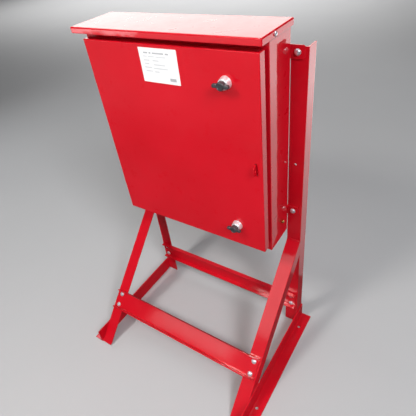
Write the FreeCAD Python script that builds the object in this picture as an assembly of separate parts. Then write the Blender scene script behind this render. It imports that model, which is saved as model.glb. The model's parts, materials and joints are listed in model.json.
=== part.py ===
import FreeCAD, Part
import os
import math

# Sheet-steel control enclosure with a rain hood, carried on a welded
# angle-iron A-frame stand.  Millimetres, +Z up, +X right, front faces -Y.
# Origin: on the floor, centred on the stand's footprint.

V = FreeCAD.Vector

# ---------------------------------------------------------------- dimensions
YS = 59.0                 # reference plane of the cabinet, measured from the origin
YD = YS - 11.0            # door front plane
T = 1.5                   # cabinet sheet

# stand
STEEL = 5.0               # thickness of every rolled angle
RAIL_H = 70.0             # base rail, upright flange
RAIL_W = 46.0             # base rail, foot flange measured from the upright
RAIL_LEN = 556.0
STAND_X = 358.0           # outer face of uprights and legs
ANG = 50.0                # upright and leg angle, flange width
UP_FLANGE = 51.2          # front flange of the uprights, reaches in behind the cabinet's side
UP_Y = YS + 166.0         # front face of the uprights
UP_Z0 = 5.0
UP_Z1 = 1184.0
LEG_TOP_Z = 495.5         # leg front face where it meets the upright
LEG_FOOT_Y = -278.0       # leg front face at the foot
LEG_FOOT_Z = 4.3
ANCHOR_X = 379.0
ANCHOR_D = 12.0
ANCHOR_Y = (-196.0, 204.0)
SPARE_HOLE = (329.5, 821.0, 9.0)

# cross rails
CH_W = 80.0
CH_F = 20.0
CH_T = 4.0
CH_HALF = 350.0
BOLT_X = 332.0
BOLT_PITCH = 48.0
FRONT_RAIL_S = 208.0      # rail centre measured up the leg from its foot
REAR_RAIL_Z = 149.5

# cabinet
BW = 312.0                # half width of the body
BY0 = YS + 27.5           # front edge of the side walls
BY1 = YS + 151.5          # back
BZ0, BZ1 = 554.0, 1254.0
OX0, OX1 = -271.0, 291.0  # sides of the clear opening
OPEN_Z0, OPEN_Z1 = 591.0, 1206.5
RIM_Y = YD + 12.0         # front edge of the sealing rim
BR = 2.0                  # bend radius of the body

# door
DX0, DX1 = -286.0, 306.0  # set to the right, clear of the hinges
DZ0, DZ1 = 576.5, 1221.0
DD = 26.0                 # depth of the pan
HINGE_X, HINGE_Y = DX0 - 6.5, YD + 20.5
HINGE_Z = (1096.0, 701.0)
KN_R = 5.4

# locks
LOCK_X = 208.0
LOCK_Z = (1141.0, 661.5)
CAM_LEN = 92.0
CAM_Y = BY0 + T + 0.8     # front face of the cams, just behind the body's front border

# hood
HX = 318.0
HY0, HY1 = YS - 21.0, YS + 157.0
HZ = 1256.0
HT = 2.0
HSKIRT = 17.5
HOOD_BOLT_Y, HOOD_BOLT_Z = YS + 47.0, 1247.0

# lugs
LUG_X0, LUG_X1 = 298.0, 347.0
LUG_H = 37.0
LUG_Z = (1170.0, 633.0)
LUG_BOLT_X = 327.5

# padlock staple
ST_X0, ST_X1 = 283.5, 286.5
ST_Z = 897.0
ST_OUT = 16.0


# ------------------------------------------------------------------- helpers
def box(x0, x1, y0, y1, z0, z1):
    return Part.makeBox(x1 - x0, y1 - y0, z1 - z0, V(x0, y0, z0))


def cyl(p, d, r, h):
    return Part.makeCylinder(r, h, V(*p), V(*d))


def mirror_x(s):
    return s.mirror(V(0, 0, 0), V(1, 0, 0))


def fillet(s, r, pick):
    es = [e for e in s.Edges if pick(e)]
    if not es:
        return s
    try:
        f = s.makeFillet(r, es)
        if f.isValid() and f.Volume > 0:
            return f
    except Exception:
        pass
    return s


def line_edge(e, axis, tol=1e-4):
    if len(e.Vertexes) != 2:
        return False
    d = e.Vertexes[1].Point.sub(e.Vertexes[0].Point)
    if d.Length < 1e-6:
        return False
    d.normalize()
    a = V(*axis)
    return abs(abs(d.dot(a)) - 1.0) < tol


def at(e, x=None, y=None, z=None, tol=1e-3):
    c = e.CenterOfMass
    return ((x is None or abs(c.x - x) < tol) and (y is None or abs(c.y - y) < tol)
            and (z is None or abs(c.z - z) < tol))


def prism(pts, ext):
    w = Part.makePolygon([V(*p) for p in pts] + [V(*pts[0])])
    return Part.Face(w).extrude(V(*ext))


def perp(d):
    a = V(1, 0, 0).cross(d) if abs(d.x) < 0.9 else V(0, 0, 1)
    a.normalize()
    return a


def hexagon(p, d, af, h):
    # hexagonal prism standing on p, unit axis d
    r = af / math.sqrt(3.0)
    d = V(*d)
    a = perp(d)
    b = d.cross(a)
    pts = []
    for k in range(6):
        t = math.radians(60 * k + 30)
        q = V(*p) + a * (r * math.cos(t)) + b * (r * math.sin(t))
        pts.append(q)
    w = Part.makePolygon(pts + [pts[0]])
    return Part.Face(w).extrude(d * h)


def revolve(prof, p, d):
    # prof: (radius, distance along d) points, closed on the axis
    d = V(*d)
    a = perp(d)
    o = V(*p)
    pts = [o + a * r + d * h for r, h in prof]
    w = Part.makePolygon(pts + [pts[0]])
    return Part.Face(w).revolve(o, d, 360)


def dome_head(p, d, r, h):
    # domed bolt head standing on p along d
    n = 7
    prof = [(0.0, 0.0), (r, 0.0), (r, h * 0.30)]
    for k in range(1, n):
        t = math.radians(90.0 * k / n)
        prof.append((r * math.cos(t) * 0.98, h * 0.30 + h * 0.70 * math.sin(t)))
    prof.append((0.0, h))
    return revolve(prof, p, d)


def bolt(p, d, shank, rs=3.95, rh=8.6, hh=5.2, washer=True):
    # head stands on p towards -d, shank runs along +d
    dv = V(*d)
    s = cyl(p, d, rs, shank)
    q = V(*p)
    parts = [s]
    off = 0.0
    if washer:
        w = cyl(tuple(q - dv * 1.6), d, rh + 0.9, 1.6)
        parts.append(w)
        off = 1.6
    h = dome_head(tuple(q - dv * off), tuple(dv * -1), rh, hh)
    out = parts[0]
    for x in parts[1:] + [h]:
        out = out.fuse(x)
    return out.removeSplitter()


def nut(p, d, af=13.0, h=6.5, rb=4.0):
    # nut with a plain washer, seated on p and standing along d
    dv = V(*d)
    w = cyl(p, d, 8.2, 1.6)
    n = hexagon(tuple(V(*p) + dv * 1.6), d, af, h)
    n = n.common(revolve([(0, 0), (af * 0.545, 0), (af * 0.577, 0.8), (af * 0.577, h - 0.8),
                          (af * 0.53, h), (0, h)], tuple(V(*p) + dv * 1.6), d))
    s = w.fuse(n).cut(cyl(tuple(V(*p) - dv), d, rb, h + 4))
    return s.removeSplitter()


def compound(lst):
    return Part.makeCompound(lst)


NODES = {}


def add(name, shape):
    NODES[name] = shape


# --------------------------------------------------------------------- stand
# base rails: unequal angle, upright flange inboard, foot flange outboard
y0, y1 = -RAIL_LEN / 2, RAIL_LEN / 2
rail = box(STAND_X, STAND_X + STEEL, y0, y1, 0, RAIL_H).fuse(
    box(STAND_X, STAND_X + RAIL_W, y0, y1, 0, STEEL)).removeSplitter()
rail = fillet(rail, 6.0, lambda e: line_edge(e, (0, 1, 0)) and at(e, x=STAND_X + STEEL, z=STEEL))
rail = fillet(rail, 2.5, lambda e: line_edge(e, (0, 1, 0)) and
              (at(e, x=STAND_X + STEEL, z=RAIL_H) or at(e, x=STAND_X + RAIL_W, z=STEEL)))
for ay in ANCHOR_Y:
    rail = rail.cut(cyl((ANCHOR_X, ay, -1), (0, 0, 1), ANCHOR_D / 2, STEEL + 2))
add("base_rail_right", rail)
add("base_rail_left", mirror_x(rail))

# uprights: equal angle, one flange facing front, one facing out
up = box(STAND_X - UP_FLANGE, STAND_X, UP_Y, UP_Y + STEEL, UP_Z0, UP_Z1).fuse(
    box(STAND_X - STEEL, STAND_X, UP_Y, UP_Y + ANG, UP_Z0, UP_Z1)).removeSplitter()
up = fillet(up, 6.0, lambda e: line_edge(e, (0, 0, 1)) and at(e, x=STAND_X - STEEL, y=UP_Y + STEEL))
up = fillet(up, 2.5, lambda e: line_edge(e, (0, 0, 1)) and
            (at(e, x=STAND_X - UP_FLANGE, y=UP_Y + STEEL) or at(e, x=STAND_X - STEEL, y=UP_Y + ANG)))
up = fillet(up, 1.0, lambda e: line_edge(e, (0, 0, 1)) and at(e, x=STAND_X, y=UP_Y))
for z in LUG_Z:
    up = up.cut(cyl((LUG_BOLT_X, UP_Y - 1, z), (0, 1, 0), 4.5, STEEL + 2))
for z in (REAR_RAIL_Z - BOLT_PITCH / 2, REAR_RAIL_Z + BOLT_PITCH / 2):
    up = up.cut(cyl((BOLT_X, UP_Y - 1, z), (0, 1, 0), 4.5, STEEL + 2))
up = up.cut(cyl((SPARE_HOLE[0], UP_Y - 1, SPARE_HOLE[1]), (0, 1, 0), SPARE_HOLE[2] / 2, STEEL + 2))
add("upright_right", up)
add("upright_left", mirror_x(up))

# legs: the same angle, leaning from the floor at the front to the upright
dy = UP_Y - LEG_FOOT_Y
dz = LEG_TOP_Z - LEG_FOOT_Z
ln = math.hypot(dy, dz)
uy, uz = dy / ln, dz / ln             # up the leg
ny, nz = -uz, uy                      # out of the leg's front face


def leg_pt(x, s, o):
    return (x, LEG_FOOT_Y + uy * s + ny * o, LEG_FOOT_Z + uz * s + nz * o)


def leg_bar(x0, x1, s0, s1, o0, o1):
    return prism([leg_pt(x0, s0, o0), leg_pt(x0, s1, o0), leg_pt(x0, s1, o1), leg_pt(x0, s0, o1)],
                 (x1 - x0, 0, 0))


leg = leg_bar(STAND_X - ANG, STAND_X, -80, ln + 80, -STEEL, 0).fuse(
    leg_bar(STAND_X - STEEL, STAND_X, -80, ln + 80, -ANG, 0)).removeSplitter()
ax = (0, uy, uz)


def leg_edge(e, x, o):
    if not line_edge(e, ax):
        return False
    c = e.CenterOfMass
    oo = (c.y - LEG_FOOT_Y) * ny + (c.z - LEG_FOOT_Z) * nz
    return abs(c.x - x) < 1e-3 and abs(oo - o) < 1e-3


leg = fillet(leg, 6.0, lambda e: leg_edge(e, STAND_X - STEEL, -STEEL))
leg = fillet(leg, 2.5, lambda e: leg_edge(e, STAND_X - ANG, -STEEL) or leg_edge(e, STAND_X - STEEL, -ANG))
leg = fillet(leg, 1.0, lambda e: leg_edge(e, STAND_X, 0.0))
leg = leg.common(box(STAND_X - ANG - 5, STAND_X + 5, y0 - 200, UP_Y, UP_Z0, 700))
for s in (FRONT_RAIL_S - BOLT_PITCH / 2, FRONT_RAIL_S + BOLT_PITCH / 2):
    leg = leg.cut(cyl(leg_pt(BOLT_X, s, 2), (0, -ny, -nz), 4.5, STEEL + 6))
add("leg_right", leg)
add("leg_left", mirror_x(leg))

# cross rails: shallow folded channels, flanges to the front
fr = leg_bar(-CH_HALF, CH_HALF, FRONT_RAIL_S - CH_W / 2, FRONT_RAIL_S + CH_W / 2, 0, CH_T)
fr = fr.fuse(leg_bar(-CH_HALF, CH_HALF, FRONT_RAIL_S - CH_W / 2, FRONT_RAIL_S - CH_W / 2 + CH_T, 0, CH_F))
fr = fr.fuse(leg_bar(-CH_HALF, CH_HALF, FRONT_RAIL_S + CH_W / 2 - CH_T, FRONT_RAIL_S + CH_W / 2, 0, CH_F))
fr = fr.removeSplitter()


def chan_outer(e, pts, tol=0.01):
    if not line_edge(e, (1, 0, 0)):
        return False
    c = e.CenterOfMass
    return any(abs(c.y - p[1]) < tol and abs(c.z - p[2]) < tol for p in pts)


fr = fillet(fr, 5.0, lambda e: chan_outer(e, [leg_pt(0, FRONT_RAIL_S - CH_W / 2, 0), leg_pt(0, FRONT_RAIL_S + CH_W / 2, 0)]))
fr = fillet(fr, 1.5, lambda e: chan_outer(e, [leg_pt(0, FRONT_RAIL_S - CH_W / 2 + CH_T, CH_T), leg_pt(0, FRONT_RAIL_S + CH_W / 2 - CH_T, CH_T)]))
for sx in (-1, 1):
    for s in (FRONT_RAIL_S - BOLT_PITCH / 2, FRONT_RAIL_S + BOLT_PITCH / 2):
        fr = fr.cut(cyl(leg_pt(sx * BOLT_X, s, CH_T + 2), (0, -ny, -nz), 4.5, CH_T + 6))
add("front_rail", fr)

rz0, rz1 = REAR_RAIL_Z - CH_W / 2, REAR_RAIL_Z + CH_W / 2
ry1 = UP_Y
rr = box(-CH_HALF, CH_HALF, ry1 - CH_T, ry1, rz0, rz1)
rr = rr.fuse(box(-CH_HALF, CH_HALF, ry1 - CH_F, ry1, rz0, rz0 + CH_T))
rr = rr.fuse(box(-CH_HALF, CH_HALF, ry1 - CH_F, ry1, rz1 - CH_T, rz1)).removeSplitter()
rr = fillet(rr, 5.0, lambda e: chan_outer(e, [(0, ry1, rz0), (0, ry1, rz1)]))
rr = fillet(rr, 1.5, lambda e: chan_outer(e, [(0, ry1 - CH_T, rz0 + CH_T), (0, ry1 - CH_T, rz1 - CH_T)]))
for sx in (-1, 1):
    for z in (REAR_RAIL_Z - BOLT_PITCH / 2, REAR_RAIL_Z + BOLT_PITCH / 2):
        rr = rr.cut(cyl((sx * BOLT_X, ry1 - CH_T - 2, z), (0, 1, 0), 4.5, CH_T + 4))
add("rear_rail", rr)

fb, fn, rb, rn = [], [], [], []
for sx in (-1, 1):
    for k in (-1, 1):
        s = FRONT_RAIL_S + k * BOLT_PITCH / 2
        fb.append(bolt(leg_pt(sx * BOLT_X, s, CH_T), (0, -ny, -nz), 20.0))
        fn.append(nut(leg_pt(sx * BOLT_X, s, -STEEL), (0, -ny, -nz)))
        z = REAR_RAIL_Z + k * BOLT_PITCH / 2
        rb.append(bolt((sx * BOLT_X, ry1 - CH_T, z), (0, 1, 0), 20.0))
        rn.append(nut((sx * BOLT_X, UP_Y + STEEL, z), (0, 1, 0)))
add("front_rail_bolts", compound(fb))
add("front_rail_nuts", compound(fn))
add("rear_rail_bolts", compound(rb))
add("rear_rail_nuts", compound(rn))

# ------------------------------------------------------------- cabinet body
body = box(-BW, BW, BY0, BY1, BZ0, BZ1)
body = fillet(body, BR, lambda e: True)
cav = box(-BW + T, BW - T, BY0 + T, BY1 - T, BZ0 + T, BZ1 - T)
body = body.cut(cav)
# flat front border turned in behind the door, ending in a forward sealing rim
rim = box(OX0 - T, OX1 + T, RIM_Y, BY0 + 0.5, OPEN_Z0 - T, OPEN_Z1 + T)
rim = fillet(rim, 6.0, lambda e: line_edge(e, (0, 1, 0)))
hole = box(OX0, OX1, RIM_Y - 1, BY0 + T + 2, OPEN_Z0, OPEN_Z1)
hole = fillet(hole, 4.5, lambda e: line_edge(e, (0, 1, 0)))
body = body.fuse(rim).cut(hole).removeSplitter()
# cable entry aperture in the floor
GL_X, GL_Y0, GL_Y1 = 170.0, YS + 66.0, YS + 132.0
body = body.cut(box(-GL_X, GL_X, GL_Y0, GL_Y1, BZ0 - 1, BZ0 + T + 1))
gscrew = [(sx * x, y) for sx in (-1, 1) for x, y in ((GL_X + 8, GL_Y0 + 6), (GL_X + 8, GL_Y1 - 6), (60.0, GL_Y0 - 7))]
for x, y in gscrew:
    body = body.cut(cyl((x, y, BZ0 - 1), (0, 0, 1), 2.6, 4))
# plate stud holes, earth stud hole, hood bolt holes
STUD = [(sx * 245.0, z) for sx in (-1, 1) for z in (625.0, 1155.0)]
EARTH_Y, EARTH_Z = YS + 104.0, 626.0
body = body.cut(cyl((BW - T - 1, EARTH_Y, EARTH_Z), (1, 0, 0), 4.1, 5))
for sx in (-1, 1):
    body = body.cut(cyl((sx * (BW - T - 1), HOOD_BOLT_Y, HOOD_BOLT_Z), (sx, 0, 0), 3.3, 5))
add("body_shell", body)

# cranked mounting lugs, welded to the back, bolted to the uprights
for zi, zn in ((0, "upper"), (1, "lower")):
    z = LUG_Z[zi]
    lug = box(254.0, LUG_X0 + 4, BY1, BY1 + 4, z - LUG_H / 2, z + LUG_H / 2)
    lug = lug.fuse(box(LUG_X0, LUG_X0 + 4, BY1, UP_Y, z - LUG_H / 2, z + LUG_H / 2))
    lug = lug.fuse(box(LUG_X0, LUG_X1, UP_Y - 4, UP_Y, z - LUG_H / 2, z + LUG_H / 2)).removeSplitter()
    lug = fillet(lug, 7.0, lambda e: line_edge(e, (0, 1, 0)) and (abs(e.CenterOfMass.x - LUG_X1) < 1e-3 or
                                                                abs(e.CenterOfMass.x - 254.0) < 1e-3))
    lug = lug.cut(cyl((LUG_BOLT_X, UP_Y - 6, z), (0, 1, 0), 4.5, 8))
    add("lug_%s_right" % zn, lug)
    add("lug_%s_left" % zn, mirror_x(lug))
lb, lnn = [], []
for sx in (-1, 1):
    for z in LUG_Z:
        lb.append(bolt((sx * LUG_BOLT_X, UP_Y - 4, z), (0, 1, 0), 22.0))
        lnn.append(nut((sx * LUG_BOLT_X, UP_Y + STEEL, z), (0, 1, 0)))
add("lug_bolts", compound(lb))
add("lug_nuts", compound(lnn))

# rain hood
hood = box(-HX, HX, HY0, HY1, HZ - HSKIRT - 2, HZ)
hood = fillet(hood, 3.5, lambda e: at(e, z=HZ) or line_edge(e, (0, 0, 1)))
hood = hood.common(box(-HX - 1, HX + 1, HY0 - 1, HY1 + 1, HZ - HSKIRT, HZ + 1))
inn = box(-HX + HT, HX - HT, HY0 + HT, HY1 - HT, HZ - HSKIRT - 4, HZ - HT)
inn = fillet(inn, 1.5, lambda e: at(e, z=HZ - HT) or line_edge(e, (0, 0, 1)))
hood = hood.cut(inn)
for sx in (-1, 1):
    hood = hood.cut(cyl((sx * (HX - 6), HOOD_BOLT_Y, HOOD_BOLT_Z), (sx, 0, 0), 3.3, 12))
add("rain_hood", hood)
hb, hs, hn = [], [], []
for sx in (-1, 1):
    hb.append(bolt((sx * HX, HOOD_BOLT_Y, HOOD_BOLT_Z), (-sx, 0, 0), 22.0, rs=2.95, rh=6.2, hh=4.6, washer=False))
    sp = cyl((sx * BW, HOOD_BOLT_Y, HOOD_BOLT_Z), (sx, 0, 0), 6.0, HX - HT - BW).cut(
        cyl((sx * (BW - 1), HOOD_BOLT_Y, HOOD_BOLT_Z), (sx, 0, 0), 3.1, 8))
    hs.append(sp)
    nn = hexagon((sx * (BW - T), HOOD_BOLT_Y, HOOD_BOLT_Z), (-sx, 0, 0), 9.6, 5.0)
    nn = nn.cut(cyl((sx * BW, HOOD_BOLT_Y, HOOD_BOLT_Z), (-sx, 0, 0), 3.0, 12))
    hn.append(nn)
add("hood_bolts", compound(hb))
add("hood_spacers", compound(hs))
add("hood_nuts", compound(hn))

# inside: mounting plate on four welded studs
PL_Y = YS + 129.0
plate = box(-270, 270, PL_Y, PL_Y + 2.5, 585, 1195)
plate = fillet(plate, 8.0, lambda e: line_edge(e, (0, 1, 0)))
st, pn = [], []
for x, z in STUD:
    plate = plate.cut(cyl((x, PL_Y - 1, z), (0, 1, 0), 4.4, 5))
    s = cyl((x, PL_Y + 2.5, z), (0, 1, 0), 7.0, BY1 - T - PL_Y - 2.5).fuse(
        cyl((x, PL_Y - 15, z), (0, 1, 0), 3.95, 20))
    st.append(s.removeSplitter())
    pn.append(nut((x, PL_Y, z), (0, -1, 0)))
add("mounting_plate", plate)
add("plate_studs", compound(st))
add("plate_nuts", compound(pn))

# blank cable entry plate under the floor, with its seal and screws
gp = box(-GL_X - 16, GL_X + 16, GL_Y0 - 14, GL_Y1 + 9, BZ0 - 5.0, BZ0 - 3.0)
gp = fillet(gp, 6.0, lambda e: line_edge(e, (0, 0, 1)))
gg = box(-GL_X - 15, GL_X + 15, GL_Y0 - 13, GL_Y1 + 8, BZ0 - 3.0, BZ0)
gg = gg.cut(box(-GL_X, GL_X, GL_Y0, GL_Y1, BZ0 - 4, BZ0 + 1))
gs = []
for x, y in gscrew:
    gp = gp.cut(cyl((x, y, BZ0 - 8), (0, 0, 1), 2.7, 8))
    gg = gg.cut(cyl((x, y, BZ0 - 8), (0, 0, 1), 2.7, 10))
    s = cyl((x, y, BZ0 - 5.0), (0, 0, 1), 2.45, 12).fuse(dome_head((x, y, BZ0 - 5.0), (0, 0, -1), 4.4, 3.0))
    gs.append(s.removeSplitter())
add("gland_plate", gp)
add("gland_seal", gg)
add("gland_screws", compound(gs))

# earth stud through the right side, with nuts
es = cyl((BW - T - 14, EARTH_Y, EARTH_Z), (1, 0, 0), 3.95, 14 + T + 9)
es = es.fuse(hexagon((BW, EARTH_Y, EARTH_Z), (1, 0, 0), 12.5, 5.0)).fuse(
    dome_head((BW + 5.0, EARTH_Y, EARTH_Z), (1, 0, 0), 5.6, 4.6)).removeSplitter()
add("earth_stud", es)
add("earth_nut", hexagon((BW - T, EARTH_Y, EARTH_Z), (-1, 0, 0), 13.0, 6.0).cut(
    cyl((BW + 1, EARTH_Y, EARTH_Z), (-1, 0, 0), 4.0, 14)))

# padlock staple: bent strap welded inside the rim, through a slot in the door
stp = box(ST_X0, ST_X1, YD - ST_OUT, YD + 27.0, ST_Z - 17, ST_Z + 17)
stp = fillet(stp, 11.0, lambda e: line_edge(e, (1, 0, 0)) and abs(e.CenterOfMass.y - (YD - ST_OUT)) < 1e-3)
stp = stp.fuse(box(ST_X0, OX1, YD + 24.0, YD + 27.0, ST_Z - 17, ST_Z + 17)).removeSplitter()
stp = stp.cut(cyl((ST_X0 - 1, YD - 7.4, ST_Z), (1, 0, 0), 4.2, 6))
add("padlock_staple", stp)

# ---------------------------------------------------------------------- door
door = box(DX0, DX1, YD, YD + DD, DZ0, DZ1)
door = fillet(door, 2.5, lambda e: at(e, y=YD))
door = fillet(door, 2.0, lambda e: line_edge(e, (0, 1, 0)))
din = box(DX0 + T, DX1 - T, YD + T, YD + DD + 1, DZ0 + T, DZ1 - T)
din = fillet(din, 1.2, lambda e: at(e, y=YD + T))
door = door.cut(din)
for z in LOCK_Z:
    door = door.cut(cyl((LOCK_X, YD - 1, z), (0, 1, 0), 11.2, T + 2))
door = door.cut(box(ST_X0 - 2.2, ST_X1 + 2.2, YD - 1, YD + T + 1, ST_Z - 19.0, ST_Z + 19.0))
add("door_panel", door)

# two vertical stiffening hats welded inside the door, between gasket and lock
hatl = []
for x in (-140.0, 68.0):
    h = box(x - 20, x + 20, YD + T, YD + T + 12, 624, 1173).cut(
        box(x - 18.5, x + 18.5, YD + T - 1, YD + T + 10.5, 623, 1174))
    hatl.append(h)
add("door_stiffeners", compound(hatl))

GK = 4.0
gasket = box(OX0 - 0.75 - GK, OX1 + 0.75 + GK, YD + T, RIM_Y - 0.3, OPEN_Z0 - 0.75 - GK, OPEN_Z1 + 0.75 + GK)
gasket = fillet(gasket, 9.0, lambda e: line_edge(e, (0, 1, 0)))
gi = box(OX0 - 0.75 + GK, OX1 + 0.75 - GK, YD, RIM_Y + 1, OPEN_Z0 - 0.75 + GK, OPEN_Z1 + 0.75 - GK)
gi = fillet(gi, 4.0, lambda e: line_edge(e, (0, 1, 0)))
gasket = gasket.cut(gi)
add("door_gasket", gasket)

add("rating_plate", fillet(box(-68.7, 63.5, YD - 0.6, YD, 1115.3, 1211.5), 3.0, lambda e: line_edge(e, (0, 1, 0))))

# hinges: three-knuckle barrels beside the door, leaf welded on the body's front border
for zi, zn in ((0, "upper"), (1, "lower")):
    zc = HINGE_Z[zi]
    # body leaf and two outer knuckles
    hbk = None
    for a, b in ((-36.0, -14.2), (14.2, 36.0)):
        k = cyl((HINGE_X, HINGE_Y, zc + a), (0, 0, 1), KN_R, b - a)
        lf = box(HINGE_X - 3.4, HINGE_X + 3.4, HINGE_Y, BY0, zc + a, zc + b)
        k = k.fuse(lf)
        hbk = k if hbk is None else hbk.fuse(k)
    hbk = hbk.fuse(box(HINGE_X - 10.0, HINGE_X + 10.0, BY0 - 2.0, BY0, zc - 36, zc + 36)).removeSplitter()
    hbk = hbk.cut(cyl((HINGE_X, HINGE_Y, zc - 40), (0, 0, 1), 3.0, 80))
    add("hinge_body_" + zn, hbk)
    hd = cyl((HINGE_X, HINGE_Y, zc - 13.8), (0, 0, 1), KN_R, 27.6)
    hd = hd.fuse(box(DX0 - 3.0, DX0, YD + 3.0, YD + DD - 2.0, zc - 13.8, zc + 13.8)).removeSplitter()
    hd = hd.cut(cyl((HINGE_X, HINGE_Y, zc - 20), (0, 0, 1), 3.05, 40))
    add("hinge_door_" + zn, hd)
    pin = cyl((HINGE_X, HINGE_Y, zc - 36.5), (0, 0, 1), 2.99, 75)
    pin = pin.fuse(dome_head((HINGE_X, HINGE_Y, zc + 36.0), (0, 0, 1), 4.6, 3.4)).removeSplitter()
    add("hinge_pin_" + zn, pin)

# quarter-turn locks
for zi, zn in ((0, "upper"), (1, "lower")):
    zc = LOCK_Z[zi]
    sgn = -1 if zi == 0 else 1
    # tapered round housing standing out of the door, threaded neck behind
    hs_ = revolve([(6.06, -16.0), (13.0, -16.0), (14.6, -15.3), (15.4, -13.6), (17.6, -2.2), (18.0, 0.0), (11.0, 0.0),
                   (11.0, 24.0), (6.06, 24.0)], (LOCK_X, YD, zc), (0, 1, 0))
    add(zn + "_lock_housing", hs_)
    ln_ = hexagon((LOCK_X, YD + T, zc), (0, 1, 0), 29.0, 5.0).cut(cyl((LOCK_X, YD, zc), (0, 1, 0), 11.0, 12))
    add(zn + "_lock_nut", ln_)
    sp = cyl((LOCK_X, YD - 26.0, zc), (0, 1, 0), 6.0, CAM_Y - YD + 26.0)
    sp = sp.fuse(box(LOCK_X - 4, LOCK_X + 4, CAM_Y, CAM_Y + 3.5, zc - 4, zc + 4)).removeSplitter()
    sp = sp.cut(cyl((LOCK_X, CAM_Y - 8.3, zc), (0, 1, 0), 2.5, 14))
    add(zn + "_lock_spindle", sp)
    # round boss with two arms
    kb = revolve([(0, -16.3), (11.6, -16.3), (11.6, -29.8), (10.4, -31.0), (0, -31.0)], (LOCK_X, YD, zc), (0, 1, 0))
    wing = box(LOCK_X - 25.5, LOCK_X + 25.5, YD - 30.2, YD - 18.5, zc - 5.2, zc + 5.2)
    wing = fillet(wing, 4.6, lambda e: line_edge(e, (0, 1, 0)))
    wing = fillet(wing, 1.8, lambda e: at(e, y=YD - 30.2))
    kb = kb.fuse(wing).removeSplitter()
    kb = kb.cut(cyl((LOCK_X, YD - 26.0, zc), (0, 1, 0), 6.0, 26))
    add(zn + "_lock_knob", kb)
    z_a, z_b = (zc - CAM_LEN, zc + 11) if sgn < 0 else (zc - 11, zc + CAM_LEN)
    cam = box(LOCK_X - 10, LOCK_X + 10, CAM_Y, CAM_Y + 3.0, z_a, z_b)
    cam = fillet(cam, 8.0, lambda e: line_edge(e, (0, 1, 0)))
    cam = cam.cut(box(LOCK_X - 4, LOCK_X + 4, CAM_Y - 0.5, CAM_Y + 3.5, zc - 4, zc + 4))
    add(zn + "_lock_cam", cam)
    cs = cyl((LOCK_X, CAM_Y - 7.3, zc), (0, 1, 0), 2.45, 10.8).fuse(cyl((LOCK_X, CAM_Y + 3.5, zc), (0, 1, 0), 7.0, 1.4)).fuse(
        hexagon((LOCK_X, CAM_Y + 4.9, zc), (0, 1, 0), 8.0, 3.5)).removeSplitter()
    add(zn + "_cam_screw", cs)

# -------------------------------------------------------------------- export
os.makedirs("parts", exist_ok=True)
for name, shape in NODES.items():
    if not shape.isValid():
        print("INVALID", name)
    shape.exportStep("parts/" + name + ".step")
    bb = shape.BoundBox
    print("%-24s %8.1f %8.1f  %8.1f %8.1f  %8.1f %8.1f  v=%.0f n=%d" % (
        name, bb.XMin, bb.XMax, bb.YMin, bb.YMax, bb.ZMin, bb.ZMax, shape.Volume, len(shape.Solids)))
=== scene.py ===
import bpy, bmesh, json, math
from mathutils import Matrix, Vector


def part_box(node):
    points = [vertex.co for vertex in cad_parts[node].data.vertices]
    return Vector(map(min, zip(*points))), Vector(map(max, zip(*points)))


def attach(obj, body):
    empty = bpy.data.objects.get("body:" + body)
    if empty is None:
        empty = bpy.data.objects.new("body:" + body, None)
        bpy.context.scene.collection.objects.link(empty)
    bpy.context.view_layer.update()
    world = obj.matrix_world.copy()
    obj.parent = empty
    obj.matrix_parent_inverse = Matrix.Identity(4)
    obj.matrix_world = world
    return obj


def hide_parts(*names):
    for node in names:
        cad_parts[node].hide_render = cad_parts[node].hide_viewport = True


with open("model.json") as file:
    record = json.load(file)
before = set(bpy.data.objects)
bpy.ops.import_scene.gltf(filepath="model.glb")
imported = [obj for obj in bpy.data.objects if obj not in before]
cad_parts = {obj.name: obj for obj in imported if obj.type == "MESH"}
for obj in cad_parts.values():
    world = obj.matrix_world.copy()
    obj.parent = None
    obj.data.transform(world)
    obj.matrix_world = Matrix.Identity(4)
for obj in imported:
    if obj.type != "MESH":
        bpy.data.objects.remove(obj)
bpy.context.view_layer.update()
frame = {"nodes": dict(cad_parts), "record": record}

NODES = frame["nodes"]
SC = bpy.context.scene


def V(*a):
    return Vector(a)


# --------------------------------------------------------------- node helpers
def mat_new(name):
    m = bpy.data.materials.new(name)
    m.use_nodes = True
    nt = m.node_tree
    nt.nodes.clear()
    out = nt.nodes.new("ShaderNodeOutputMaterial")
    b = nt.nodes.new("ShaderNodeBsdfPrincipled")
    nt.links.new(b.outputs[0], out.inputs[0])
    return m, nt, b


def coords(nt, scale=(1, 1, 1), kind="Object"):
    tc = nt.nodes.new("ShaderNodeTexCoord")
    mp = nt.nodes.new("ShaderNodeMapping")
    mp.inputs["Scale"].default_value = scale
    nt.links.new(tc.outputs[kind], mp.inputs[0])
    return mp.outputs[0]


def noise(nt, vec, scale, detail=3.0, rough=0.5, dist=0.0):
    n = nt.nodes.new("ShaderNodeTexNoise")
    n.inputs["Scale"].default_value = scale
    n.inputs["Detail"].default_value = detail
    n.inputs["Roughness"].default_value = rough
    n.inputs["Distortion"].default_value = dist
    nt.links.new(vec, n.inputs["Vector"])
    return n.outputs["Fac"]


def ramp(nt, fac, stops):
    r = nt.nodes.new("ShaderNodeValToRGB")
    els = r.color_ramp.elements
    while len(els) < len(stops):
        els.new(0.5)
    for e, (p, c) in zip(els, stops):
        e.position = p
        e.color = (c[0], c[1], c[2], 1.0) if not isinstance(c, (int, float)) else (c, c, c, 1.0)
    nt.links.new(fac, r.inputs[0])
    return r.outputs[0]


def mapr(nt, v, a, b, c, d):
    m = nt.nodes.new("ShaderNodeMapRange")
    m.inputs[1].default_value = a
    m.inputs[2].default_value = b
    m.inputs[3].default_value = c
    m.inputs[4].default_value = d
    nt.links.new(v, m.inputs[0])
    return m.outputs[0]


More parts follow.
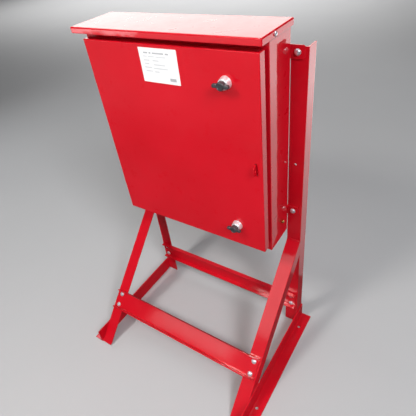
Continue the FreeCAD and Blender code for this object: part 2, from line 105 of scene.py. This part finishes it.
def mix(nt, fac, a, b, mode="MIX"):
    m = nt.nodes.new("ShaderNodeMix")
    m.data_type = "RGBA"
    m.blend_type = mode
    for sock, v in ((m.inputs[0], fac), (m.inputs[6], a), (m.inputs[7], b)):
        if isinstance(v, bpy.types.NodeSocket):
            nt.links.new(v, sock)
        elif isinstance(v, (int, float)):
            sock.default_value = v
        else:
            sock.default_value = (v[0], v[1], v[2], 1.0)
    return m.outputs[2]


def math_(nt, op, a, b=None):
    m = nt.nodes.new("ShaderNodeMath")
    m.operation = op
    for i, v in enumerate((a, b)):
        if v is None:
            continue
        if isinstance(v, bpy.types.NodeSocket):
            nt.links.new(v, m.inputs[i])
        else:
            m.inputs[i].default_value = v
    return m.outputs[0]


def bump(nt, h, strength, dist, nrm=None):
    b = nt.nodes.new("ShaderNodeBump")
    b.inputs["Strength"].default_value = strength
    b.inputs["Distance"].default_value = dist
    nt.links.new(h, b.inputs["Height"])
    if nrm is not None:
        nt.links.new(nrm, b.inputs["Normal"])
    return b.outputs[0]


def paint(name, deep, light, rough=0.2, peel=0.10, dust=0.05, coat_rough=0.04, edge=0.0012):
    """Glossy stoved enamel on sheet steel: slight orange peel, uneven film, faint dust and hairline scuffs."""
    m, nt, b = mat_new(name)
    v = coords(nt)
    bev = nt.nodes.new("ShaderNodeBevel")
    bev.samples = 6
    bev.inputs["Radius"].default_value = edge
    geo = nt.nodes.new("ShaderNodeNewGeometry")
    dt = nt.nodes.new("ShaderNodeVectorMath")
    dt.operation = "DOT_PRODUCT"
    nt.links.new(bev.outputs[0], dt.inputs[0])
    nt.links.new(geo.outputs["Normal"], dt.inputs[1])
    rim = mapr(nt, dt.outputs["Value"], 0.995, 0.80, 0.0, 1.0)
    big = noise(nt, v, 3.2, 3.0, 0.55)
    mid = noise(nt, v, 26.0, 4.0, 0.6)
    col = mix(nt, ramp(nt, big, [(0.32, 0.0), (0.68, 1.0)]), deep, light)
    # faint dust film
    d = ramp(nt, noise(nt, v, 9.0, 6.0, 0.65, 0.4), [(0.52, 0.0), (0.80, 1.0)])
    col = mix(nt, math_(nt, "MULTIPLY", d, dust), col, (0.55, 0.30, 0.27))
    # tiny chips
    ch = nt.nodes.new("ShaderNodeTexVoronoi")
    ch.inputs["Scale"].default_value = 34.0
    nt.links.new(v, ch.inputs["Vector"])
    chip = ramp(nt, math_(nt, "ADD", ch.outputs["Distance"], math_(nt, "MULTIPLY", mid, 0.30)),
                [(0.115, 1.0), (0.135, 0.0)])
    sel = ramp(nt, noise(nt, v, 5.0, 1.0), [(0.63, 0.0), (0.66, 1.0)])
    chip = math_(nt, "MULTIPLY", chip, sel)
    col = mix(nt, math_(nt, "MULTIPLY", chip, 0.7), col, (0.10, 0.02, 0.02))
    # painted highlight: the colour is lifted to a lighter red along the edges, broken up by noise
    painted_edge_highlight = math_(nt, "MULTIPLY", rim, mapr(nt, mid, 0.35, 0.65, 0.15, 0.8))
    col = mix(nt, math_(nt, "MULTIPLY", painted_edge_highlight, 0.35), col, (0.80, 0.10, 0.09))
    nt.links.new(col, b.inputs["Base Color"])
    # hairline scuffs
    vs = coords(nt, (1.0, 1.0, 14.0))
    scuff = ramp(nt, noise(nt, vs, 42.0, 2.0, 0.5, 0.6), [(0.60, 0.0), (0.74, 1.0)])
    r = mapr(nt, mid, 0.3, 0.7, rough - 0.04, rough + 0.05)
    r = math_(nt, "ADD", r, math_(nt, "MULTIPLY", scuff, 0.05))
    r = math_(nt, "ADD", r, math_(nt, "MULTIPLY", chip, 0.35))
    nt.links.new(r, b.inputs["Roughness"])
    peel_h = noise(nt, v, 300.0, 2.0, 0.5)
    wave = noise(nt, v, 18.0, 2.0, 0.5)
    n1 = bump(nt, peel_h, peel, 0.0004, bev.outputs[0])
    n2 = bump(nt, wave, 0.10, 0.003, n1)
    n3 = bump(nt, math_(nt, "SUBTRACT", 1.0, chip), 0.5, 0.0003, n2)
    nt.links.new(n3, b.inputs["Normal"])
    nt.links.new(n3, b.inputs["Coat Normal"])
    b.inputs["IOR"].default_value = 1.45
    b.inputs["Specular IOR Level"].default_value = 0.05
    b.inputs["Coat Weight"].default_value = 1.0
    b.inputs["Coat Roughness"].default_value = coat_rough
    b.inputs["Coat IOR"].default_value = 1.5
    return m


def metal(name, base, dark, rough, aniso=0.0, spot=60.0, metallic=1.0):
    m, nt, b = mat_new(name)
    v = coords(nt)
    n = noise(nt, v, spot, 5.0, 0.6)
    col = mix(nt, ramp(nt, n, [(0.35, 0.0), (0.7, 1.0)]), dark, base)
    nt.links.new(col, b.inputs["Base Color"])
    b.inputs["Metallic"].default_value = metallic
    fine = noise(nt, coords(nt, (1, 1, 6)), 700.0, 3.0, 0.6)
    nt.links.new(mapr(nt, fine, 0.3, 0.7, rough - 0.05, rough + 0.08), b.inputs["Roughness"])
    nt.links.new(bump(nt, fine, 0.12, 0.0002), b.inputs["Normal"])
    if aniso:
        b.inputs["Anisotropic"].default_value = aniso
    return m


def plastic(name, base, light, rough, grain=1400.0, strength=0.25, spec=0.5):
    m, nt, b = mat_new(name)
    v = coords(nt)
    n = noise(nt, v, 60.0, 4.0, 0.6)
    col = mix(nt, ramp(nt, n, [(0.35, 0.0), (0.75, 1.0)]), base, light)
    nt.links.new(col, b.inputs["Base Color"])
    g = noise(nt, v, grain, 2.0, 0.6)
    nt.links.new(mapr(nt, g, 0.3, 0.7, rough - 0.06, rough + 0.08), b.inputs["Roughness"])
    nt.links.new(bump(nt, g, strength, 0.0002), b.inputs["Normal"])
    b.inputs["Specular IOR Level"].default_value = spec
    return m


RED_SHEET = paint("red enamel on sheet", (0.60, 0.003, 0.012), (0.67, 0.005, 0.017), 0.30, 0.05, 0.015, 0.04)
RED_ANGLE = paint("red enamel on rolled angle", (0.56, 0.003, 0.012), (0.65, 0.006, 0.018), 0.32, 0.14, 0.03, 0.09)
ZINC = metal("bright zinc", (0.90, 0.92, 0.96), (0.74, 0.77, 0.82), 0.30, metallic=0.75)
ZINC_DULL = metal("zinc, inside", (0.66, 0.66, 0.62), (0.50, 0.50, 0.48), 0.38)
GALV = metal("galvanised sheet", (0.66, 0.68, 0.70), (0.46, 0.49, 0.52), 0.36, spot=38.0)
CHROME = metal("polished chrome", (0.96, 0.97, 0.99), (0.88, 0.89, 0.92), 0.28, metallic=0.55)
BRASS = metal("brass", (0.83, 0.62, 0.26), (0.66, 0.46, 0.17), 0.24)
BLACK = plastic("black moulded nylon", (0.030, 0.029, 0.034), (0.060, 0.057, 0.068), 0.36, spec=1.0)
RUBBER = plastic("black sponge rubber", (0.012, 0.012, 0.012), (0.03, 0.03, 0.03), 0.75, 900.0, 0.6)
LABEL = plastic("white laminate", (0.88, 0.885, 0.89), (0.93, 0.93, 0.93), 0.30, 500.0, 0.05)
INK = plastic("grey print", (0.42, 0.42, 0.44), (0.52, 0.52, 0.54), 0.45, 800.0, 0.05)
INK_PALE = plastic("pale grey print", (0.62, 0.63, 0.64), (0.70, 0.71, 0.72), 0.45, 800.0, 0.05)

SLOT_MAT = {"red_paint": RED_SHEET, "zinc": ZINC, "chrome": CHROME, "black_plastic": BLACK, "rubber": RUBBER,
            "spacer": BLACK, "label": LABEL, "brass": BRASS, "galvanised": GALV}
ANGLES = ("base_rail", "upright", "leg_", "front_rail", "rear_rail", "lug_")
slots = {s["node"]: s["material_slot"] for s in frame["record"]["subparts"]}


def smooth(ob, angle=32.0):
    for p in ob.data.polygons:
        p.use_smooth = True
    try:
        ob.data.set_sharp_from_angle(angle=math.radians(angle))
    except Exception:
        pass


def bevel_mod(ob, w, seg=2, ang=35.0):
    m = ob.modifiers.new("edge", "BEVEL")
    m.width = w
    m.segments = seg
    m.limit_method = "ANGLE"
    m.angle_limit = math.radians(ang)
    m.harden_normals = True
    m.use_clamp_overlap = True
    return m


for name, ob in NODES.items():
    s = slots.get(name, "red_paint")
    mt = SLOT_MAT[s]
    if s == "red_paint" and name.startswith(ANGLES) and not name.endswith(("bolts", "nuts")):
        mt = RED_ANGLE
    if name in ("upper_lock_nut", "lower_lock_nut", "plate_nuts", "plate_studs", "hood_nuts"):
        mt = ZINC_DULL
    if ob.data.materials:
        for i in range(len(ob.data.materials)):
            ob.data.materials[i] = mt
    else:
        ob.data.materials.append(mt)


# ----------------------------------------------------------- detail pieces
def new_ob(name, bm, mat, body, sm=30.0):
    me = bpy.data.meshes.new(name)
    bmesh.ops.recalc_face_normals(bm, faces=bm.faces)
    bm.to_mesh(me)
    bm.free()
    ob = bpy.data.objects.new(name, me)
    SC.collection.objects.link(ob)
    me.materials.append(mat)
    if sm:
        smooth(ob, sm)
    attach(ob, body)
    return ob


def frame_of(axis):
    a = Vector(axis).normalized()
    h = Vector((0, 0, 1)) if abs(a.z) < 0.9 else Vector((1, 0, 0))
    u = a.cross(h).normalized()
    return u, a.cross(u).normalized(), a


def lathe(bm, org, axis, prof, seg=48, ripple=None):
    """Turns the (radius, height) profile round the axis; radius 0 closes the end."""
    u, w_, a = frame_of(axis)
    o = Vector(org)
    rings = []
    for r, h in prof:
        if r < 1e-7:
            rings.append([bm.verts.new(o + a * h)])
            continue
        ring = []
        for k in range(seg):
            t = 2 * math.pi * k / seg
            rr = r * (1.0 + (ripple(t, r, h) if ripple else 0.0))
            ring.append(bm.verts.new(o + a * h + (u * math.cos(t) + w_ * math.sin(t)) * rr))
        rings.append(ring)
    for p, q in zip(rings, rings[1:]):
        if len(p) == 1 and len(q) == 1:
            continue
        for k in range(seg):
            j = (k + 1) % seg
            if len(p) == 1:
                bm.faces.new((p[0], q[k], q[j]))
            elif len(q) == 1:
                bm.faces.new((p[k], q[0], p[j]))
            else:
                bm.faces.new((p[k], q[k], q[j], p[j]))


def arc(r, h0, h1, n=9, flat=0.0):
    """Dome profile from the edge (r, h0) up to the crown at h1."""
    out = []
    for k in range(n + 1):
        t = 0.5 * math.pi * k / n
        out.append((max(r * math.cos(t), flat if k < n else 0.0), h0 + (h1 - h0) * math.sin(t)))
    return out


def clusters(ob, axis, split):
    """Head end of each fastener in a node: its vertices are grouped by a key, the far end along -axis is the head."""
    groups = {}
    for vtx in ob.data.vertices:
        groups.setdefault(split(vtx.co), []).append(vtx.co.copy())
    a = Vector(axis).normalized()
    res = []
    for key in sorted(groups):
        pts = groups[key]
        hs = [p.dot(a) for p in pts]
        u, w_, _ = frame_of(a)
        us = [p.dot(u) for p in pts]
        ws = [p.dot(w_) for p in pts]
        res.append((u * ((min(us) + max(us)) / 2) + w_ * ((min(ws) + max(ws)) / 2), min(hs), max(hs),
                    (max(us) - min(us)) / 2, key))
    return res


def bolts(node, axis_of, split, mat):
    """Rounded heads on plain washers, with shank and a run of thread at the far end."""
    ob = NODES[node]
    bm = bmesh.new()
    sides = {}
    for vtx in ob.data.vertices:
        sides.setdefault(split(vtx.co), []).append(vtx.co.copy())
    for key in sorted(sides):
        a = Vector(axis_of(key)).normalized()
        pts = sides[key]
        u, w_, _ = frame_of(a)
        us = [p.dot(u) for p in pts]
        ws = [p.dot(w_) for p in pts]
        hs = [p.dot(a) for p in pts]
        c = u * ((min(us) + max(us)) / 2) + w_ * ((min(ws) + max(ws)) / 2)
        R = (max(us) - min(us)) / 2
        h0, h1 = min(hs), max(hs)
        yield_head = 0.0068 if R > 0.0075 else 0.0046
        seat = h0 + yield_head
        small = R <= 0.0075
        wt = 0.0 if small else 0.0016
        rw = R
        rh = R if small else R - 0.0009
        o = c + a * seat
        if not small:
            lathe(bm, o, -a, [(0.0, 0.00002), (rw * 0.995, 0.00002), (rw, 0.0003), (rw, wt - 0.0003), (rw * 0.985, wt),
                              (0.0, wt)])
        top = seat - h0
        prof = [(0.0, wt)] + [(rh * 0.97, wt), (rh, wt + 0.0004), (rh, wt + 0.0011), (rh * 0.985, wt + 0.0014)]
        prof += arc(rh * 0.975, wt + 0.0014, top, 11)[1:]
        lathe(bm, o, -a, prof, 48)
        rs = 0.0029 if small else 0.0039
        ln = h1 - seat
        prof = [(0.0, 0.0), (rs, 0.0), (rs, ln * 0.45)]
        k = ln * 0.45
        while k < ln - 0.0012:
            prof += [(rs * 0.86, k + 0.0005), (rs, k + 0.00095)]
            k += 0.00125
        prof += [(rs * 0.8, ln), (0.0, ln)]
        lathe(bm, o, a, prof, 20)
    piece = new_ob(node + "_fine", bm, mat, "stand_and_cabinet", 38.0)
    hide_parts(node)
    return piece


def zmid(node):
    lo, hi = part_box(node)
    return (lo[2] + hi[2]) / 2


LEG_N = None
lo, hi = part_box("leg_right")
# normal of the leg's front face, from the leg's own mesh
best = None
for poly in NODES["leg_right"].data.polygons:
    nn = poly.normal
    if nn.y < -0.3 and nn.z > 0.3 and abs(nn.x) < 0.05 and (best is None or poly.area > best[0]):
        best = (poly.area, nn.copy())
LEG_N = best[1].normalized()

zf, zr, zl = zmid("front_rail_bolts"), zmid("rear_rail_bolts"), zmid("lug_bolts")
bolts("front_rail_bolts", lambda k: -LEG_N, lambda p: (p.x > 0, p.z > zf), ZINC)
bolts("rear_rail_bolts", lambda k: (0, 1, 0), lambda p: (p.x > 0, p.z > zr), ZINC)
bolts("lug_bolts", lambda k: (0, 1, 0), lambda p: (p.x > 0, p.z > zl), ZINC)
bolts("hood_bolts", lambda k: (-1, 0, 0) if k[0] else (1, 0, 0), lambda p: (p.x > 0,), ZINC)


def lock(which):
    """Chrome housing and black two-armed handle of one quarter-turn lock."""
    lo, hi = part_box(which + "_lock_housing")
    cx, cz = (lo[0] + hi[0]) / 2, (lo[2] + hi[2]) / 2
    R = (hi[0] - lo[0]) / 2
    y0, y1 = lo[1], hi[1]
    klo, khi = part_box(which + "_lock_knob")
    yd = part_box("door_panel")[0][1]
    bm = bmesh.new()
    prof = [(0.00606, 0.0), (0.0118, 0.0), (0.0121, 0.0003), (0.0124, 0.0), (0.0132, 0.0001), (0.0140, 0.0004),
            (0.0146, 0.0010), (0.0150, 0.0018), (0.0153, 0.0030), (0.0159, 0.0062), (0.0165, 0.0095), (0.0171, 0.0122),
            (0.0175, 0.0138), (R - 0.00015, 0.0147), (R, 0.0153), (R, yd - y0 - 0.00005), (0.0110, yd - y0 - 0.00005),
            (0.0110, yd - y0 + 0.003)]
    k = yd - y0 + 0.003
    while k < y1 - y0 - 0.0015:
        prof += [(0.0104, k + 0.0005), (0.0110, k + 0.001)]
        k += 0.0013
    prof += [(0.0106, y1 - y0), (0.00606, y1 - y0), (0.00606, 0.0)]
    lathe(bm, (cx, y0, cz), (0, 1, 0), prof, 72)
    h = new_ob(which + "_housing_fine", bm, CHROME, "door", 30.0)
    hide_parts(which + "_lock_housing")

    # handle: round boss with a shallow dished cap, arms with a waist and rounded tips
    bm = bmesh.new()
    yb = khi[1]
    d = yb - klo[1]
    L = (khi[0] - klo[0]) / 2
    boss = [(0.0, 0.0), (0.0112, 0.0), (0.0116, 0.0004), (0.0116, 0.0016), (0.0111, 0.0020), (0.0111, 0.0026),
            (0.0115, 0.0030), (0.0115, d - 0.0022), (0.0112, d - 0.0012), (0.0105, d - 0.0004), (0.0096, d),
            (0.0082, d - 0.0001), (0.0076, d - 0.0008), (0.0040, d - 0.0013), (0.0, d - 0.0014)]
    lathe(bm, (cx, yb, cz), (0, -1, 0), boss, 56)
    for sx in (-1, 1):
        n = 15
        secs = []
        for i in range(n + 1):
            t = i / n
            x = 0.0070 + (L - 0.0070) * t
            hz = 0.0041 + 0.0011 * (0.5 - 0.5 * math.cos(2 * math.pi * min(1.0, t * 1.05))) + 0.0006 * t
            ya = -0.0030 - 0.0012 * t
            yf = -(d - 0.0008) + 0.0007 * t
            if t > 0.80:
                q = (t - 0.80) / 0.20
                f = math.sqrt(max(0.0, 1 - q * q * 0.985))
                hz *= f
                ym = (ya + yf) / 2
                ya, yf = ym + (ya - ym) * (0.55 + 0.45 * f), ym + (yf - ym) * (0.55 + 0.45 * f)
            ring = []
            m = 20
            for j in range(m):
                a_ = 2 * math.pi * j / m
                ca, sa = math.cos(a_), math.sin(a_)
                e = 0.42
                px = math.copysign(abs(ca) ** e, ca)
                py = math.copysign(abs(sa) ** e, sa)
                ring.append(bm.verts.new((cx + sx * x, yb + (ya + yf) / 2 + (yf - ya) / 2 * px, cz + hz * py)))
            secs.append(ring)
        for p, q in zip(secs, secs[1:]):
            for j in range(m):
                jj = (j + 1) % m
                bm.faces.new((p[j], p[jj], q[jj], q[j]))
        bm.faces.new(list(reversed(secs[0])))
        bm.faces.new(secs[-1])
    kn = new_ob(which + "_handle_fine", bm, BLACK, which + "_lock", 34.0)
    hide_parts(which + "_lock_knob")


lock("upper")
lock("lower")


def slab(bm, x0, x1, y0, y1, z0, z1, r, seg=6):
    """Thin plate with rounded corners, thickness along Y."""
    cs = [(x1 - r, z1 - r, 0), (x0 + r, z1 - r, 90), (x0 + r, z0 + r, 180), (x1 - r, z0 + r, 270)]
    loops = []
    for y in (y0, y1):
        lp = []
        for ccx, ccz, a0 in cs:
            for k in range(seg + 1):
                t = math.radians(a0 + 90.0 * k / seg)
                lp.append(bm.verts.new((ccx + r * math.cos(t), y, ccz + r * math.sin(t))))
        loops.append(lp)
    n = len(loops[0])
    bm.faces.new(loops[0])
    bm.faces.new(list(reversed(loops[1])))
    for k in range(n):
        bm.faces.new((loops[0][k], loops[0][(k + 1) % n], loops[1][(k + 1) % n], loops[1][k]))


lo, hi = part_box("rating_plate")
bm = bmesh.new()
slab(bm, lo[0], hi[0], lo[1] + 0.0001, hi[1], lo[2], hi[2], 0.002)
lab = new_ob("rating_plate_fine", bm, LABEL, "door", 40.0)
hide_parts("rating_plate")
W_, H_ = hi[0] - lo[0], hi[2] - lo[2]


def bars(name, mat, rows):
    bm = bmesh.new()
    for u0, u1, vc, th in rows:
        slab(bm, lo[0] + W_ * u0, lo[0] + W_ * u1, lo[1] + 0.00002, lo[1] + 0.00012,
             hi[2] - H_ * (vc + th / 2), hi[2] - H_ * (vc - th / 2), min(H_ * th * 0.3, 0.0008), 3)
    ob = new_ob(name, bm, mat, "door", 40.0)


bars("plate_bars_head", INK, [(0.13, 0.24, 0.145, 0.040), (0.28, 0.33, 0.145, 0.040), (0.37, 0.66, 0.145, 0.040),
                              (0.71, 0.79, 0.145, 0.040), (0.74, 0.90, 0.865, 0.085)])
bars("plate_bars_rows", INK_PALE, [(0.11, 0.21, 0.245, 0.022), (0.24, 0.40, 0.245, 0.022), (0.44, 0.70, 0.245, 0.022),
                                   (0.11, 0.26, 0.355, 0.030), (0.35, 0.51, 0.355, 0.030),
                                   (0.12, 0.24, 0.455, 0.030), (0.36, 0.66, 0.470, 0.030),
                                   (0.10, 0.30, 0.560, 0.030), (0.34, 0.72, 0.575, 0.030),
                                   (0.12, 0.30, 0.665, 0.030), (0.36, 0.48, 0.675, 0.030)])


def bead(bm, p0, p1, r, side, up, seed):
    """Weld bead: a run of overlapping ripples with a flattened crown and tapered ends."""
    a, b = Vector(p0), Vector(p1)
    d = (b - a)
    ln = d.length
    d.normalize()
    sd, un = Vector(side).normalized(), Vector(up).normalized()
    n = max(14, int(ln / 0.0009))
    m = 10
    rings = []
    for i in range(n + 1):
        t = i / n
        rip = 1.0 + 0.10 * math.sin(ln * t / 0.0017 * math.pi + seed) + 0.07 * math.sin(seed * 3.1 + t * 9.0)
        cap = min(1.0, math.sqrt(max(0.0, min(t, 1 - t) * ln / (r * 1.2)))) if ln > 0 else 1.0
        rr = r * rip * max(0.08, cap)
        ring = []
        for j in range(m):
            th = 2 * math.pi * j / m
            ring.append(bm.verts.new(a + d * (ln * t) + sd * (rr * math.cos(th)) + un * (rr * 0.75 * math.sin(th))))
        rings.append(ring)
    for p, q in zip(rings, rings[1:]):
        for j in range(m):
            jj = (j + 1) % m
            bm.faces.new((p[j], p[jj], q[jj], q[j]))
    bm.faces.new(list(reversed(rings[0])))
    bm.faces.new(rings[-1])


bm = bmesh.new()
ulo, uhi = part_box("upright_right")
llo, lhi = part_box("leg_right")
rlo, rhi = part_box("base_rail_right")
slope = -LEG_N.z / LEG_N.y            # run of the leg's front face per unit height
for i, sx in enumerate((1, -1)):
    xs0, xs1 = ulo[0] + 0.002, uhi[0] - 0.003
    # leg top against the upright's face
    bead(bm, (sx * xs0, ulo[1] - 0.0012, lhi[2] + 0.0002), (sx * xs1, ulo[1] - 0.0012, lhi[2] + 0.0002), 0.0030,
         (0, -1, 0), (0, 0, 1), 0.7 + i)
    # leg flange against the upright, running down the joint
    bead(bm, (sx * (uhi[0] - 0.0022), ulo[1] - 0.0012, lhi[2] - 0.066),
         (sx * (uhi[0] - 0.0022), ulo[1] - 0.0012, lhi[2] - 0.012), 0.0022, (sx, 0, 0), (0, -1, 0), 1.9 + i)
    # upright foot on the inner face and top edge of the base rail
    bead(bm, (sx * (rlo[0] + 0.0016), ulo[1] + 0.003, rhi[2] + 0.0004), (sx * (rlo[0] + 0.0016), uhi[1] - 0.006, rhi[2] + 0.0004),
         0.0027, (sx, 0, 0), (0, 0, 1), 2.3 + i)
    # leg foot on the top edge of the base rail
    yf = llo[1] + (rhi[2] - 0.005) * (lhi[1] - llo[1]) / (lhi[2] - llo[2])
    bead(bm, (sx * (rlo[0] + 0.0016), yf + 0.006, rhi[2] + 0.0004), (sx * (rlo[0] + 0.0016), yf + 0.066, rhi[2] + 0.0004),
         0.0027, (sx, 0, 0), (0, 0, 1), 3.1 + i)
wl = new_ob("stand_weld_beads", bm, RED_ANGLE, "stand_and_cabinet", 60.0)


# ------------------------------------------------------------------- stage
def stage_floor():
    me = bpy.data.meshes.new("floor")
    bm = bmesh.new()
    s = 40.0
    vs = [bm.verts.new((x, y, -0.0005)) for x, y in ((-s, -s), (s, -s), (s, s), (-s, s))]
    bm.faces.new(vs)
    bm.to_mesh(me)
    bm.free()
    ob = bpy.data.objects.new("floor", me)
    SC.collection.objects.link(ob)
    m, nt, b = mat_new("pale floor")
    v = coords(nt)
    col = mix(nt, noise(nt, v, 1.4, 3.0), (0.50, 0.50, 0.505), (0.53, 0.53, 0.53))
    nt.links.new(col, b.inputs["Base Color"])
    b.inputs["Roughness"].default_value = 0.85
    me.materials.append(m)
    ob.visible_glossy = False
    return ob


stage_floor()


def area(name, loc, target, size, size_y, power, color=(1, 1, 1), diffuse=True, glossy=True, fade=None):
    l = bpy.data.lights.new(name, "AREA")
    l.shape = "RECTANGLE"
    l.size = size
    l.size_y = size_y
    l.energy = power
    l.color = color
    ob = bpy.data.objects.new(name, l)
    SC.collection.objects.link(ob)
    ob.location = loc
    d = Vector(target) - Vector(loc)
    ob.rotation_euler = d.to_track_quat("-Z", "Y").to_euler()
    ob.visible_camera = False
    ob.visible_glossy = glossy
    ob.visible_diffuse = diffuse
    if fade:
        # brightness falls off along the panel
        l.use_nodes = True
        nt = l.node_tree
        em = nt.nodes["Emission"]
        geo = nt.nodes.new("ShaderNodeNewGeometry")
        sep = nt.nodes.new("ShaderNodeSeparateXYZ")
        nt.links.new(geo.outputs["Parametric"], sep.inputs[0])
        nt.links.new(ramp(nt, sep.outputs[fade[0]], fade[1]), em.inputs["Strength"])
    return ob


w = bpy.data.worlds.new("studio")
SC.world = w
w.use_nodes = True
bg = w.node_tree.nodes["Background"]
bg.inputs[0].default_value = (0.93, 0.95, 1.0, 1.0)
bg.inputs[1].default_value = 0.055

WARM, WHITE, COOL = (1.0, 0.97, 0.94), (1.0, 1.0, 1.0), (0.95, 0.97, 1.0)
LIGHTS = [
    # name, location, target, width, height, watts, colour, diffuse, glossy, fade
    ("key", (-0.66, -1.7, 2.95), (0, 0.0, 0.9), 0.45, 0.45, 39.0, WARM, True, True, None),
    ("front", (-0.5, -3.4, 1.9), (0, 0, 0.7), 1.4, 1.4, 24.0, WHITE, True, False, None),
    ("window", (-1.40, -3.0, 2.42), (-1.40, 0.0, 2.42), 1.2, 1.86, 12.6, WHITE, True, True, None),
    ("window edge", (-0.72, -3.0, 2.95), (-0.72, 0.0, 2.95), 0.55, 1.9, 5.6, WHITE, True, True, None),
    ("top", (0.1, 0.3, 3.9), (0.1, 0.3, 0.0), 2.0, 2.0, 24.0, WHITE, True, True, None),
    ("right", (2.7, -1.55, 3.4), (0, 0, 1.1), 1.2, 1.2, 118.0, COOL, True, True, None),
    ("left", (-3.2, 0.2, 1.8), (0, 0, 0.7), 1.6, 1.6, 16.0, COOL, True, False, None),
    ("rear", (1.2, 3.4, 2.0), (0, 0, 0.7), 1.8, 1.4, 12.0, COOL, True, False, None),
    ("back panel", (-2.4, 3.2, 2.2), (0.0, 0.1, 1.25), 3.6, 1.3, 33.0, WARM, False, True, None),
    ("right card", (1.6, 3.04, 0.004), (1.6, 3.04, 1.0), 4.2, 5.12, 128.0, WHITE, False, True,
     ("Y", [(0.0, 0.12), (0.04, 0.19), (0.10, 0.26), (0.26, 0.49), (0.47, 1.0)])),
    ("front card", (-2.6, -2.25, 0.004), (-2.6, -2.25, 1.0), 5.8, 3.9, 71.0, WHITE, False, True,
     ("Y", [(0.0, 1.0), (0.09, 0.78), (0.21, 0.24), (0.42, 0.22), (0.62, 0.18), (0.74, 0.05), (1.0, 0.03)])),
    ("sky", (-2.3, 1.35, 3.9), (-2.3, 1.35, 0.0), 2.3, 1.9, 47.0, COOL, False, True, None),
    ("backdrop wash", (-5.0, 8.5, 4.5), (-5.0, 8.5, 0.0), 9.0, 9.0, 420.0, WHITE, True, False, None),
    ("far card", (-4.6, -4.0, 0.008), (-4.6, -4.0, 1.0), 1.6, 0.6, 11.0, WHITE, False, True, None),
]
for nm, loc, tgt, sx, sy, watts, colr, dif, glo, fade in LIGHTS:
    ob = area(nm, loc, tgt, sx, sy, watts, colr, dif, glo, fade)
    if nm == "backdrop wash":
        ob.data.spread = math.radians(90)       # stays on the floor behind, clear of the cabinet


# ------------------------------------------------------------------ camera
FX, FY = 0.72726, -0.81977 + 0.059
CAM_R = V(0.83447365, 0.53949212, -0.11225852)
CAM_U = V(-0.26575899, 0.57247063, 0.77566071)
CAM_F = V(-0.48272754, 0.61743471, -0.62108654)
cam_data = bpy.data.cameras.new("camera")
cam_data.sensor_width = 36.0
cam_data.lens = 386.99 / 416.0 * 36.0
cam = bpy.data.objects.new("camera", cam_data)
SC.collection.objects.link(cam)
m3 = Matrix((CAM_R, CAM_U, -CAM_F)).transposed()
cam.matrix_world = Matrix.Translation(V(FX, FY, 1.50308 + 0.0043)) @ m3.to_4x4()
SC.camera = cam

SC.view_settings.view_transform = "Standard"
